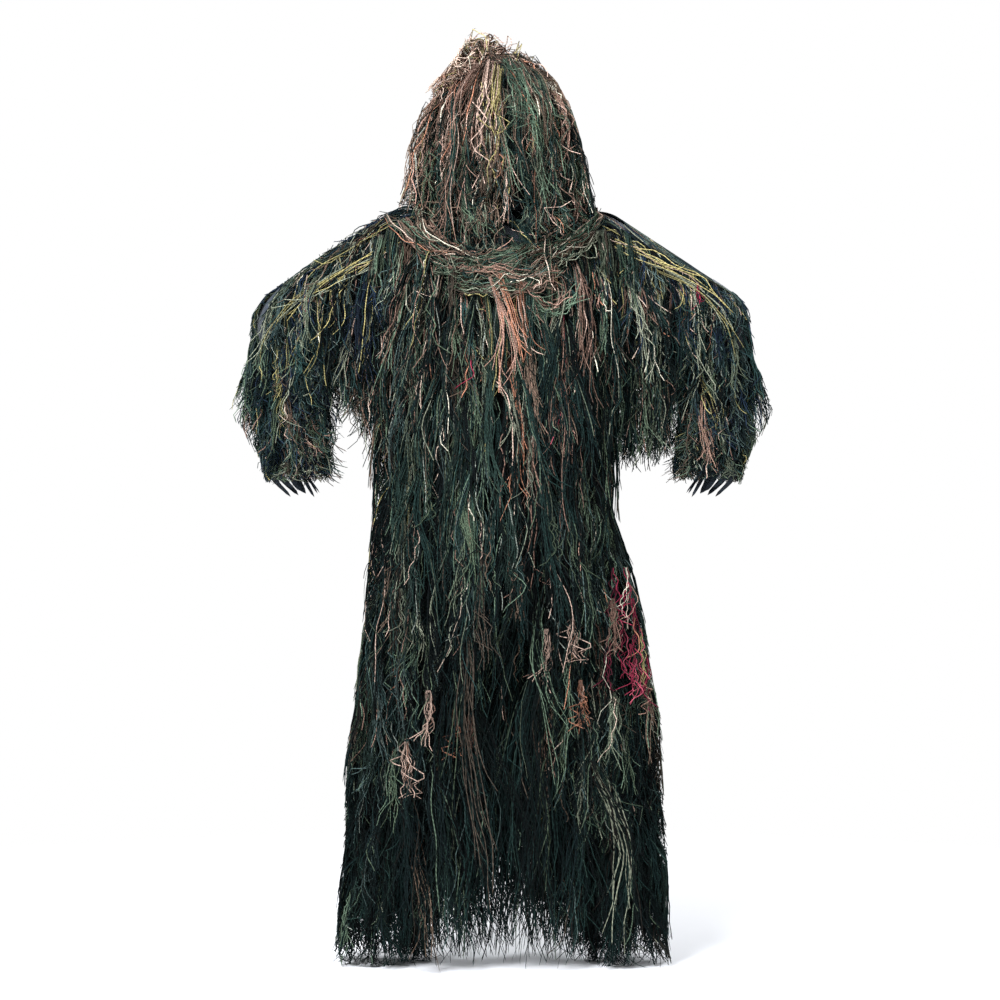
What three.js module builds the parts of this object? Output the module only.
// A ghillie suit: hood with face veil, zipped jacket and trousers, each a cloth shell covered in
// thatch. It is modelled in the shape that it has when worn, arms out and elbows bent down.
// Millimetres, +Z up, the front faces -Y, and the wearer's left is +X. The origin is on the
// ground, midway between the wearer's feet.
import * as THREE from 'three';

const { degToRad, lerp, smoothstep } = THREE.MathUtils;

// ---- driving dimensions -------------------------------------------------------------------
const SUIT_HEIGHT = 1846; // ground to the top of the crown tuft
const CLOTH = 3.5; // base cloth and netting together
const GAP = 0.6; // between pieces that touch
const PIECE_GAP = 0.5; // between the zip's pieces
const LOOSE_GAP = 3; // between a band and the cloth round it, where their steps differ
const ELASTIC = 3; // thickness of an elastic band
const OVAL_POWER = 2.3; // 2 would be a plain ellipse; more is squarer
const QUARTER = Math.PI / 2;

const TORSO = { hemZ: 870, armholeZ: 1252, chestZ: 1380, halfDepth: 140 };
const TORSO_HALF_WIDTH = [[870, 205], [1080, 181], [1380, 190]];
const TORSO_THATCH = [[870, 38], [1080, 52], [1380, 46]];
const ARMHOLE_ANGLES = [degToRad(36), degToRad(56)]; // from the side seam: low edge, full height

const YOKE = { halfWidth: 180, halfDepth: 136, sideZ: 1448, frontZ: 1390, thatch: 42, rise: 10 };
const YOKE_SLANT = { out: 0.6, up: 0.8 }; // the direction that its thickness is measured in
const YOKE_THATCH_REACH = 0.82; // how far up towards the neck its thatch goes
const NECK = { halfWidth: 80, halfDepth: 84, z: 1500 };
const COLLAR = { z: 1505, height: 30, thickness: 4, clearance: 2 };
const SEAM = degToRad(0.4); // half of the gap between two panels that are sewn together
const FRONT_EDGE = { cloth: degToRad(1.6), thatch: degToRad(2.6) }; // from the zip's middle
const HEM_BAND = { inset: 2, height: 25 };

const SEAT = { lowZ: 880, highZ: 1030, halfDepth: 112 };
const SEAT_HALF_WIDTH = [[880, 186], [1030, 168]];
const WAISTBAND = { height: 35, thickness: 5 };
const GUSSET = { radius: 119, halfWidth: 32, angles: [degToRad(212), degToRad(328)] };

const SHOULDER = { x: 190, z: 1430 };
const ARM = { slope: degToRad(30), upperLength: 285, start: 38, end: 245, cut: 0.34 };
const SLEEVE_RADIUS = [[38, 76], [285, 62]];
const SLEEVE_THATCH = [[38, 24], [285, 38]];
const FOREARM = { start: 40, clothEnd: 292, thatchEnd: 300 };
const FOREARM_RADIUS = [[0, 62], [300, 46]];
const FOREARM_THATCH = [[0, 20], [217, 56], [300, 50]];
const ELBOW_PATCH = { radius: 56, angles: [degToRad(-35), degToRad(95)], reach: degToRad(58) };
const CUFF = { height: 25, stripPoints: 9, stripEnd: 357, stripNotch: 318 };

const HIP = { x: 110, z: 930 };
const LEG_SPLAY = 0.177; // sideways shift of the leg's middle for each millimetre down
const LEG_TOP = 790;
const LEG_HALF_WIDTH = [[110, 52], [300, 62], [500, 76], [650, 87], [800, 88]];
const LEG_HALF_DEPTH = [[110, 54], [300, 62], [500, 74], [800, 84]];
const LEG_THATCH = [[6, 24], [125, 23], [265, 32], [527, 54], [760, 38], [790, 25]];
const KNEE = { z: 500, gap: 51, cut: 0.35 };
const KNEE_PATCH = { radius: 66, angles: [degToRad(-50), degToRad(50)], reach: degToRad(55) };
const ANKLE = { clothZ: 100, thatchZ: 6, bandHeight: 25, bandInset: 2 };
const CURTAIN = { topZ: 700, innerX: 5, outerX: 120, outerZ: 130, lowZ: 70, thickness: 24 };

const HOOD = { lowZ: 1552, highZ: 1808, faceAngle: degToRad(50), browZ: 1745, thatch: 54, browThatch: 14 };
const HOOD_HALF_WIDTH = [[1552, 120], [1650, 125], [1720, 119], [1775, 88], [1808, 36]];
const HOOD_HALF_DEPTH = [[1552, 126], [1650, 132], [1720, 125], [1775, 92], [1808, 38]];
const CROWN = { radius: 44, topRadius: 39.6, patch: 4, tuftRadius: 88 };
const TUFT_SHOULDER = { radius: 0.75, height: 0.7 }; // where the tuft rounds over, as shares
const VEIL = { lowZ: 1562, highZ: 1741, thatch: 44, sideGap: degToRad(1.2) };
const BINDING = { radius: 3, inset: 9, clearance: 4, lowRise: 6, corner: 20, edge: degToRad(2) };

const ZIP = { lowZ: 882, highZ: 1381, tape: 16, tapeThickness: 1.4, clearance: 3 };
const CHAIN = { width: 2.6, thickness: 2.2, gap: 0.3 };
const SLIDER = { halfWidth: 5.5, height: 15, thickness: 3.4, topZ: 1379, gap: 0.4 };
const SLIDER_SHAPE = { tail: 0.55, top: 0.8, shoulder: 0.3 }; // shares of its width and height
const PULL = { width: 6.4, length: 30, thickness: 1.8, drop: 4 };
const HANGER = { width: 56, height: 12, bar: 2.4, depth: 8, rise: 4, gap: 2.5 };

// steps round each part, and up it
const ROUND = 20;
const STEPS = {
  back: [14, 4], front: [9, 4], hem: [28, 1], yoke: [24, 3], yokeThatch: [12, 3], seat: [ROUND, 2],
  gusset: [2, 12], sleeve: [14, 3], cuff: [14, 1], leg: [16, 3], longLeg: [16, 4], ankle: [16, 1],
  hood: [10, 6], face: [8, 3], patch: [8, 7], band: [ROUND, 1],
};
const SIDES = [['left', 1], ['right', -1]];

// ---- materials ----------------------------------------------------------------------------
const material = (color, roughness = 1, metalness = 0) =>
  new THREE.MeshStandardMaterial({ color, roughness, metalness });
const BASE_CLOTH = material(0x12161a);
const CANVAS = material(0x1a2026, 0.95);
const THATCH_GREEN = material(0x232c1b);
const THATCH_OLIVE = material(0x3a3d24);
const THATCH_BROWN = material(0x4b3828);
const THATCH_MOSS = material(0x2c3626);
const THATCH_BLACK = material(0x14191a);
const ELASTIC_BLACK = material(0x0c0d0e, 0.9);
const NET_GREEN = material(0x1c2419);
const ZIP_TAPE = material(0x10130f, 0.95);
const ZIP_PLASTIC = material(0x1a1c18, 0.45);
const ZIP_METAL = material(0x3b3a36, 0.4, 0.9);

// ---- directions ---------------------------------------------------------------------------
const LEFT = new THREE.Vector3(1, 0, 0);
const BACK = new THREE.Vector3(0, 1, 0);
const UP = new THREE.Vector3(0, 0, 1);

// ---- shapes -------------------------------------------------------------------------------
const suit = new THREE.Group();

function add(name, geometry, itsMaterial, parent = suit) {
  const mesh = new THREE.Mesh(geometry, itsMaterial);
  mesh.name = name;
  parent.add(mesh);
  return mesh;
}

// The value at a place between stops, each [place, value], in straight stretches.
function along(stops, place) {
  const next = stops.findIndex(([at]) => at > place);
  if (next === 0) return stops[0][1];
  if (next === -1) return stops[stops.length - 1][1];
  const [fromAt, from] = stops[next - 1];
  const [toAt, to] = stops[next];
  return lerp(from, to, (place - fromAt) / (toAt - fromAt));
}

// A point on a squarish oval. Angle 0 is the wearer's left, and -90 degrees is the front.
function oval(angle, halfWidth, halfDepth) {
  const power = 2 / OVAL_POWER;
  const part = (value) => Math.sign(value) * Math.abs(value) ** power;
  return [halfWidth * part(Math.cos(angle)), halfDepth * part(Math.sin(angle))];
}

function facingOut(geometry) {
  const { array } = geometry.attributes.position;
  const corners = [0, 1, 2].map(() => new THREE.Vector3());
  const order = geometry.index.array;
  let volume = 0;
  for (let i = 0; i < order.length; i += 3) {
    corners.forEach((corner, k) => corner.fromArray(array, order[i + k] * 3));
    volume += corners[0].dot(corners[1].cross(corners[2]));
  }
  if (volume < 0) {
    for (let i = 0; i < order.length; i += 3) {
      [order[i], order[i + 1]] = [order[i + 1], order[i]];
    }
  }
  geometry.computeVertexNormals();
  return geometry;
}

// A closed wall between two surfaces, each a function of u and v from 0 to 1. A ring closes on
// itself along u.
function wall(outer, inner, uSteps, vSteps, ring = false) {
  const columns = ring ? uSteps : uSteps + 1;
  const positions = [];
  for (const surface of [outer, inner]) {
    for (let j = 0; j <= vSteps; j += 1) {
      for (let i = 0; i < columns; i += 1) {
        positions.push(...surface(i / uSteps, j / vSteps));
      }
    }
  }
  const at = (side, i, j) => (side * (vSteps + 1) + j) * columns + (i % columns);
  const faces = [];
  const quad = (a, b, c, d) => faces.push(a, b, c, a, c, d);
  for (let i = 0; i < uSteps; i += 1) {
    for (let j = 0; j < vSteps; j += 1) {
      quad(at(0, i, j), at(0, i + 1, j), at(0, i + 1, j + 1), at(0, i, j + 1));
      quad(at(1, i, j), at(1, i, j + 1), at(1, i + 1, j + 1), at(1, i + 1, j));
    }
    quad(at(0, i, 0), at(1, i, 0), at(1, i + 1, 0), at(0, i + 1, 0));
    quad(at(0, i, vSteps), at(0, i + 1, vSteps), at(1, i + 1, vSteps), at(1, i, vSteps));
  }
  for (let j = 0; j < vSteps && !ring; j += 1) {
    quad(at(0, 0, j), at(0, 0, j + 1), at(1, 0, j + 1), at(1, 0, j));
    quad(at(0, uSteps, j), at(1, uSteps, j), at(1, uSteps, j + 1), at(0, uSteps, j + 1));
  }
  const geometry = new THREE.BufferGeometry();
  geometry.setAttribute('position', new THREE.Float32BufferAttribute(positions, 3));
  geometry.setIndex(faces);
  return facingOut(geometry);
}

// A wall on a surface that takes an angle, a v from 0 to 1 and an offset along its normal.
// The offsets, from and to, may each be a number or a function of v.
function skin(surface, angles, from, to, uSteps, vSteps) {
  const ring = angles === null;
  const [start, end] = ring ? [0, 2 * Math.PI] : angles;
  const offset = (value, v) => (typeof value === 'function' ? value(v) : value);
  const at = (value) => (u, v) => surface(lerp(start, end, u), v, offset(value, v));
  return wall(at(to), at(from), uSteps, vSteps, ring);
}

// A curved patch on a sphere. Directions give the patch's middle, where it bends, and its width.
function roundPatch(centre, patch, forward, up, sideways) {
  const at = (radius) => (u, v) => {
    const bend = lerp(...patch.angles, v);
    const reach = lerp(-patch.reach, patch.reach, u);
    const point = new THREE.Vector3(...centre);
    point.addScaledVector(forward, radius * Math.cos(reach) * Math.cos(bend));
    point.addScaledVector(up, radius * Math.cos(reach) * Math.sin(bend));
    point.addScaledVector(sideways, radius * Math.sin(reach));
    return point.toArray();
  };
  return wall(at(patch.radius), at(patch.radius - CLOTH), ...STEPS.patch);
}

// ---- torso --------------------------------------------------------------------------------
function torsoPoint(angle, z, offset) {
  const [x, y] = oval(angle, along(TORSO_HALF_WIDTH, z) + offset, TORSO.halfDepth + offset);
  return [x, y, z];
}

// The body panels are lower at the sides, where the armholes are.
function panelTop(angle) {
  const fromSide = Math.abs(Math.asin(Math.sin(angle)));
  return lerp(TORSO.armholeZ, TORSO.chestZ, smoothstep(fromSide, ...ARMHOLE_ANGLES));
}

const bodyPanel = (lowZ) => (angle, v, offset) =>
  torsoPoint(angle, lerp(lowZ, panelTop(angle), v), offset);
const torsoThatch = (v) => along(TORSO_THATCH, lerp(TORSO.hemZ, TORSO.chestZ, v));

function addBody() {
  const panel = bodyPanel(TORSO.hemZ);
  const back = [SEAM, Math.PI - SEAM];
  const face = CLOTH / 2;
  add('jacket_back', skin(panel, back, -face, face, ...STEPS.back), BASE_CLOTH);
  add('back_thatch', skin(panel, back, face + GAP, torsoThatch, ...STEPS.back), THATCH_GREEN);
  for (const [side, sign] of SIDES) {
    const angles = (edge) => (sign > 0 ? [edge - QUARTER, -SEAM] : [SEAM - Math.PI, -QUARTER - edge]);
    const front = skin(panel, angles(FRONT_EDGE.cloth), -face, face, ...STEPS.front);
    const thatchFrom = face + ZIP.clearance;
    const thatch = skin(panel, angles(FRONT_EDGE.thatch), thatchFrom, torsoThatch, ...STEPS.front);
    add(`jacket_front_${side}`, front, BASE_CLOTH);
    add(`front_thatch_${side}`, thatch, side === 'left' ? THATCH_OLIVE : THATCH_MOSS);
  }
  const bandLow = TORSO.hemZ + HEM_BAND.inset;
  const band = (angle, v, offset) => torsoPoint(angle, bandLow + HEM_BAND.height * v, offset);
  const bandOut = -face - LOOSE_GAP;
  add('jacket_hem_elastic', skin(band, null, bandOut - ELASTIC, bandOut, ...STEPS.hem), ELASTIC_BLACK);
}

// The yoke slopes from the shoulders up to the neck, like a small poncho.
function yokePoint(angle, v, offset) {
  const halfWidth = lerp(YOKE.halfWidth, NECK.halfWidth, v);
  const halfDepth = lerp(YOKE.halfDepth, NECK.halfDepth, v);
  const edgeZ = lerp(YOKE.frontZ, YOKE.sideZ, Math.cos(angle) ** 2);
  const rise = YOKE.rise * Math.sin(Math.PI * v);
  const out = YOKE_SLANT.out * offset;
  const [x, y] = oval(angle, halfWidth + out, halfDepth + out);
  return [x, y, lerp(edgeZ, NECK.z, v) + rise + YOKE_SLANT.up * offset];
}

function addYoke() {
  const thatch = (angle, v, offset) => yokePoint(angle, YOKE_THATCH_REACH * v, offset);
  add('shoulder_yoke', skin(yokePoint, null, 0, CLOTH, ...STEPS.yoke), BASE_CLOTH);
  for (const [side, sign] of SIDES) {
    const middle = sign > 0 ? 0 : Math.PI;
    const reach = QUARTER - SEAM;
    const angles = [middle - reach, middle + reach];
    const solid = skin(thatch, angles, CLOTH + LOOSE_GAP, YOKE.thatch, ...STEPS.yokeThatch);
    add(`yoke_thatch_${side}`, solid, THATCH_BROWN);
  }
  const collar = (angle, v, offset) => {
    const out = COLLAR.clearance + offset;
    const [x, y] = oval(angle, NECK.halfWidth + out, NECK.halfDepth + out);
    return [x, y, COLLAR.z + COLLAR.height * v];
  };
  add('collar', skin(collar, null, -COLLAR.thickness, 0, ...STEPS.band), BASE_CLOTH);
}

// A tape loop inside the collar at the nape, to hang the jacket on a hook.
function addHangerLoop() {
  const halfWidth = HANGER.width / 2;
  const outline = new THREE.Shape();
  outline.moveTo(-halfWidth, 0);
  outline.lineTo(halfWidth, 0);
  outline.lineTo(halfWidth, HANGER.height);
  outline.lineTo(-halfWidth, HANGER.height);
  const hole = new THREE.Path();
  hole.moveTo(HANGER.bar - halfWidth, HANGER.bar);
  hole.lineTo(HANGER.bar - halfWidth, HANGER.height - HANGER.bar);
  hole.lineTo(halfWidth - HANGER.bar, HANGER.height - HANGER.bar);
  hole.lineTo(halfWidth - HANGER.bar, HANGER.bar);
  outline.holes.push(hole);
  const loop = new THREE.ExtrudeGeometry(outline, { depth: HANGER.depth, bevelEnabled: false });
  const mesh = add('hanger_loop', loop, ZIP_TAPE);
  mesh.rotation.x = Math.PI / 2;
  const back = NECK.halfDepth - COLLAR.thickness - HANGER.gap;
  mesh.position.set(0, back, COLLAR.z + HANGER.rise);
}

// ---- front zip ----------------------------------------------------------------------------
function addZip() {
  const front = -TORSO.halfDepth - CLOTH / 2 - GAP;
  const height = ZIP.highZ - ZIP.lowZ;
  const middleZ = (ZIP.highZ + ZIP.lowZ) / 2;
  for (const [side, sign] of SIDES) {
    const tape = new THREE.BoxGeometry(ZIP.tape, ZIP.tapeThickness, height);
    const tapeMesh = add(`zip_tape_${side}`, tape, ZIP_TAPE);
    tapeMesh.position.set(sign * (ZIP.tape / 2 + PIECE_GAP), front - ZIP.tapeThickness / 2, middleZ);
    const chain = new THREE.BoxGeometry(CHAIN.width, CHAIN.thickness, height);
    const chainMesh = add(`zip_teeth_${side}`, chain, ZIP_PLASTIC);
    const chainY = front - ZIP.tapeThickness - CHAIN.gap - CHAIN.thickness / 2;
    chainMesh.position.set(sign * (CHAIN.width / 2 + CHAIN.gap), chainY, middleZ);
  }
  const sliderBack = front - ZIP.tapeThickness - CHAIN.gap - CHAIN.thickness - SLIDER.gap;
  const tail = SLIDER.halfWidth * SLIDER_SHAPE.tail;
  const top = SLIDER.halfWidth * SLIDER_SHAPE.top;
  const shoulder = -SLIDER.height * SLIDER_SHAPE.shoulder;
  const body = new THREE.Shape();
  body.moveTo(-tail, -SLIDER.height);
  body.lineTo(tail, -SLIDER.height);
  body.lineTo(SLIDER.halfWidth, shoulder);
  body.lineTo(top, 0);
  body.lineTo(-top, 0);
  body.lineTo(-SLIDER.halfWidth, shoulder);
  const slider = new THREE.ExtrudeGeometry(body, { depth: SLIDER.thickness, bevelEnabled: false });
  const sliderMesh = add('zip_slider', slider, ZIP_METAL);
  sliderMesh.rotation.x = Math.PI / 2;
  sliderMesh.position.set(0, sliderBack, SLIDER.topZ);
  const pull = new THREE.BoxGeometry(PULL.width, PULL.thickness, PULL.length);
  const pullMesh = add('zip_pull', pull, ZIP_METAL);
  const pullY = sliderBack - SLIDER.thickness - PIECE_GAP - PULL.thickness / 2;
  pullMesh.position.set(0, pullY, SLIDER.topZ - PULL.drop - PULL.length / 2);
}

// ---- trousers above the legs --------------------------------------------------------------
function addSeat() {
  const ringPoint = (lowZ, highZ) => (angle, v, offset) => {
    const z = lerp(lowZ, highZ, v);
    const [x, y] = oval(angle, along(SEAT_HALF_WIDTH, z) + offset, SEAT.halfDepth + offset);
    return [x, y, z];
  };
  const seat = ringPoint(SEAT.lowZ, SEAT.highZ);
  add('trouser_seat', skin(seat, null, -CLOTH, 0, ...STEPS.seat), BASE_CLOTH);
  const band = ringPoint(SEAT.highZ + GAP, SEAT.highZ + GAP + WAISTBAND.height);
  add('trouser_waistband', skin(band, null, -WAISTBAND.thickness, 0, ...STEPS.band), ELASTIC_BLACK);
  const gusset = (radius) => (u, v) => {
    const angle = lerp(...GUSSET.angles, v);
    const x = lerp(-GUSSET.halfWidth, GUSSET.halfWidth, u);
    return [x, radius * Math.cos(angle), HIP.z + radius * Math.sin(angle)];
  };
  const strap = wall(gusset(GUSSET.radius), gusset(GUSSET.radius - CLOTH), ...STEPS.gusset);
  add('crotch_gusset', strap, BASE_CLOTH);
}

// ---- sleeves ------------------------------------------------------------------------------
// A round sleeve along a straight line, with ends that may be cut at a slant. The section's
// first direction is the outer side of the bend.
function sleevePoint(sign, origin, direction, outward, radiusAt, ends) {
  return (angle, v, offset) => {
    const atStart = lerp(ends.start, ends.end, v);
    const radius = radiusAt(atStart) + offset;
    const across = radius * Math.cos(angle);
    const place = lerp(ends.start + ends.startCut * across, ends.end + ends.endCut * across, v);
    const x = origin[0] + direction[0] * place + outward[0] * across;
    const z = origin[1] + direction[1] * place + outward[1] * across;
    return [sign * x, radius * Math.sin(angle), z];
  };
}

const ARM_DIRECTION = [Math.cos(ARM.slope), -Math.sin(ARM.slope)];
const ARM_OUTWARD = [Math.sin(ARM.slope), Math.cos(ARM.slope)];
const ELBOW = [
  SHOULDER.x + ARM.upperLength * ARM_DIRECTION[0],
  SHOULDER.z + ARM.upperLength * ARM_DIRECTION[1],
];

function addSleeve(side, sign) {
  const upperEnds = { start: ARM.start, startCut: 0, end: ARM.end, endCut: ARM.cut };
  const shoulder = [SHOULDER.x, SHOULDER.z];
  const upperRadius = (place) => along(SLEEVE_RADIUS, place);
  const upper = sleevePoint(sign, shoulder, ARM_DIRECTION, ARM_OUTWARD, upperRadius, upperEnds);
  const upperThatch = (v) => along(SLEEVE_THATCH, lerp(ARM.start, ARM.end, v));
  add(`upper_sleeve_${side}`, skin(upper, null, -CLOTH, 0, ...STEPS.sleeve), BASE_CLOTH);
  add(`upper_sleeve_thatch_${side}`, skin(upper, null, GAP, upperThatch, ...STEPS.sleeve), THATCH_BROWN);

  const lowerAlong = (end, startCut = -ARM.cut) => ({ start: FOREARM.start, startCut, end, endCut: 0 });
  const lowerRadius = (t) => along(FOREARM_RADIUS, t);
  const lower = (end) => sleevePoint(sign, ELBOW, [0, -1], [1, 0], lowerRadius, lowerAlong(end));
  const lowerThatch = (v) => along(FOREARM_THATCH, lerp(FOREARM.start, FOREARM.thatchEnd, v));
  const sleeve = skin(lower(FOREARM.clothEnd), null, -CLOTH, 0, ...STEPS.sleeve);
  const thatch = skin(lower(FOREARM.thatchEnd), null, GAP, lowerThatch, ...STEPS.sleeve);
  add(`lower_sleeve_${side}`, sleeve, BASE_CLOTH);
  add(`lower_sleeve_thatch_${side}`, thatch, THATCH_BLACK);

  const bandStart = FOREARM.clothEnd - CUFF.height;
  const bandEnds = { start: bandStart, startCut: 0, end: FOREARM.clothEnd, endCut: 0 };
  const band = sleevePoint(sign, ELBOW, [0, -1], [1, 0], lowerRadius, bandEnds);
  const bandOut = -CLOTH - GAP;
  add(`cuff_elastic_${side}`, skin(band, null, bandOut - ELASTIC, bandOut, ...STEPS.cuff), ELASTIC_BLACK);

  const outward = new THREE.Vector3(sign, 0, 0);
  const elbow = [sign * ELBOW[0], 0, ELBOW[1]];
  add(`elbow_patch_${side}`, roundPatch(elbow, ELBOW_PATCH, outward, UP, BACK), CANVAS);

  // ragged strips of cloth that hang from the cuff, as one band with a toothed lower edge
  const strips = (angle, v, offset) => {
    const tooth = Math.abs(((angle / (2 * Math.PI)) * CUFF.stripPoints) % 1 - 0.5) * 2;
    const bottom = lerp(CUFF.stripEnd, CUFF.stripNotch, tooth);
    const place = lerp(FOREARM.thatchEnd + GAP, bottom, v);
    const radius = lowerRadius(place) + offset;
    return [sign * (ELBOW[0] + radius * Math.cos(angle)), radius * Math.sin(angle), ELBOW[1] - place];
  };
  add(`cuff_strips_${side}`, skin(strips, null, 0, CLOTH, 2 * CUFF.stripPoints, 1), THATCH_BLACK);
}

// ---- legs ---------------------------------------------------------------------------------
function legPoint(sign, lowZ, highZ, lowCut = 0, highCut = 0) {
  return (angle, v, offset) => {
    const level = lerp(lowZ, highZ, v);
    const halfDepth = along(LEG_HALF_DEPTH, level) + offset;
    const halfWidth = along(LEG_HALF_WIDTH, level) + offset;
    const y = halfDepth * Math.sin(angle);
    const z = level + lerp(lowCut, highCut, v) * y;
    const middle = HIP.x + (HIP.z - z) * LEG_SPLAY;
    return [sign * (middle + halfWidth * Math.cos(angle)), y, z];
  };
}

function addLeg(side, sign) {
  const legThatch = (lowZ, highZ) => (v) => along(LEG_THATCH, lerp(lowZ, highZ, v));
  const thighLow = KNEE.z + KNEE.gap;
  const shinHigh = KNEE.z - KNEE.gap;
  const thigh = legPoint(sign, thighLow, LEG_TOP, KNEE.cut, 0);
  add(`thigh_${side}`, skin(thigh, null, -CLOTH, 0, ...STEPS.leg), BASE_CLOTH);
  const thighThatch = skin(thigh, null, GAP, legThatch(thighLow, LEG_TOP), ...STEPS.leg);
  add(`thigh_thatch_${side}`, thighThatch, THATCH_GREEN);

  const shin = legPoint(sign, ANKLE.clothZ, shinHigh, 0, -KNEE.cut);
  const shinThatch = legPoint(sign, ANKLE.thatchZ, shinHigh, 0, -KNEE.cut);
  add(`shin_${side}`, skin(shin, null, -CLOTH, 0, ...STEPS.leg), BASE_CLOTH);
  const thatch = skin(shinThatch, null, GAP, legThatch(ANKLE.thatchZ, shinHigh), ...STEPS.longLeg);
  add(`shin_thatch_${side}`, thatch, THATCH_BLACK);

  const bandLow = ANKLE.clothZ + ANKLE.bandInset;
  const band = legPoint(sign, bandLow, bandLow + ANKLE.bandHeight);
  const bandOut = -CLOTH - GAP;
  add(`ankle_elastic_${side}`, skin(band, null, bandOut - ELASTIC, bandOut, ...STEPS.ankle), ELASTIC_BLACK);

  const knee = [sign * (HIP.x + (HIP.z - KNEE.z) * LEG_SPLAY), 0, KNEE.z];
  add(`knee_patch_${side}`, roundPatch(knee, KNEE_PATCH, BACK.clone().negate(), UP, LEFT), CANVAS);

  // long strands that hang between the legs from the inner thigh
  const outline = new THREE.Shape();
  outline.moveTo(CURTAIN.innerX, CURTAIN.lowZ);
  outline.lineTo(CURTAIN.outerX, CURTAIN.outerZ);
  outline.lineTo(CURTAIN.innerX, CURTAIN.topZ);
  const curtain = new THREE.ExtrudeGeometry(outline, { depth: CURTAIN.thickness, bevelEnabled: false });
  curtain.rotateX(Math.PI / 2);
  curtain.translate(0, CURTAIN.thickness / 2, 0);
  const mesh = add(`inner_leg_curtain_${side}`, curtain, THATCH_OLIVE);
  mesh.rotation.z = sign > 0 ? 0 : Math.PI;
}

// ---- hood and face veil -------------------------------------------------------------------
const hoodPoint = (lowZ, highZ) => (angle, v, offset) => {
  const z = lerp(lowZ, highZ, v);
  const [x, y] = oval(angle, along(HOOD_HALF_WIDTH, z) + offset, along(HOOD_HALF_DEPTH, z) + offset);
  return [x, y, z];
};

function addHood() {
  const panel = hoodPoint(HOOD.lowZ, HOOD.highZ);
  for (const [side, sign] of SIDES) {
    const front = HOOD.faceAngle - QUARTER;
    const angles = sign > 0 ? [front, QUARTER - SEAM] : [QUARTER + SEAM, Math.PI - front];
    add(`hood_${side}`, skin(panel, angles, -CLOTH, 0, ...STEPS.hood), BASE_CLOTH);
    add(`hood_thatch_${side}`, skin(panel, angles, GAP, HOOD.thatch, ...STEPS.hood), THATCH_MOSS);
  }
  const browAngles = [SEAM - QUARTER - HOOD.faceAngle, HOOD.faceAngle - QUARTER - SEAM];
  const brow = hoodPoint(HOOD.browZ, HOOD.highZ);
  add('hood_brow', skin(brow, browAngles, -CLOTH, 0, ...STEPS.face), BASE_CLOTH);
  add('brow_thatch', skin(brow, browAngles, GAP, HOOD.browThatch, ...STEPS.face), THATCH_BROWN);

  const patch = new THREE.CylinderGeometry(CROWN.topRadius, CROWN.radius, CROWN.patch, ROUND);
  const patchMesh = add('crown_patch', patch, BASE_CLOTH);
  patchMesh.rotation.x = Math.PI / 2;
  patchMesh.position.z = HOOD.highZ + GAP + CROWN.patch / 2;
  const tuftHeight = SUIT_HEIGHT - HOOD.highZ - CROWN.patch - 2 * GAP;
  const shoulder = [CROWN.tuftRadius * TUFT_SHOULDER.radius, tuftHeight * TUFT_SHOULDER.height];
  const profile = [[0, 0], [CROWN.tuftRadius, 0], shoulder, [0, tuftHeight]];
  const tuft = new THREE.LatheGeometry(profile.map(([x, y]) => new THREE.Vector2(x, y)), ROUND);
  const tuftMesh = add('crown_tuft', tuft, THATCH_BROWN);
  tuftMesh.rotation.x = Math.PI / 2;
  tuftMesh.position.z = HOOD.highZ + CROWN.patch + 2 * GAP;
  addFaceBinding();
}

// A rolled elastic edge round the face opening, just inside the hood.
function addFaceBinding() {
  const inset = -CLOTH - BINDING.inset - BINDING.radius;
  const edge = HOOD.faceAngle - BINDING.edge;
  const point = (angle, z) => {
    const place = hoodPoint(z, z)(angle - QUARTER, 0, inset);
    return new THREE.Vector3(...place);
  };
  const highZ = HOOD.browZ - BINDING.radius - BINDING.clearance;
  const lowZ = HOOD.lowZ + BINDING.lowRise;
  const sides = [0, 1, 2, 3].map((step) => lerp(lowZ, highZ - BINDING.corner, step / 3));
  const across = [1, 2, 3, 4, 5, 6, 7].map((step) => lerp(-edge, edge, step / 8));
  const points = sides.map((z) => point(-edge, z));
  points.push(...across.map((angle) => point(angle, highZ)));
  points.push(...sides.reverse().map((z) => point(edge, z)));
  const section = new THREE.Shape();
  section.absarc(0, 0, BINDING.radius, 0, 2 * Math.PI, false);
  const extrudePath = new THREE.CatmullRomCurve3(points);
  const options = { steps: 34, curveSegments: 8, bevelEnabled: false, extrudePath };
  add('face_edge_binding', new THREE.ExtrudeGeometry(section, options), ELASTIC_BLACK);
}

function addVeil() {
  const reach = HOOD.faceAngle - VEIL.sideGap;
  const angles = [-QUARTER - reach, reach - QUARTER];
  const panel = hoodPoint(VEIL.lowZ, VEIL.highZ);
  add('face_veil', skin(panel, angles, -CLOTH, 0, ...STEPS.face), NET_GREEN);
  add('veil_thatch', skin(panel, angles, GAP, VEIL.thatch, ...STEPS.face), THATCH_GREEN);
}

addBody();
addYoke();
addHangerLoop();
addZip();
addSeat();
for (const [side, sign] of SIDES) {
  addSleeve(side, sign);
  addLeg(side, sign);
}
addHood();
addVeil();

export default suit;
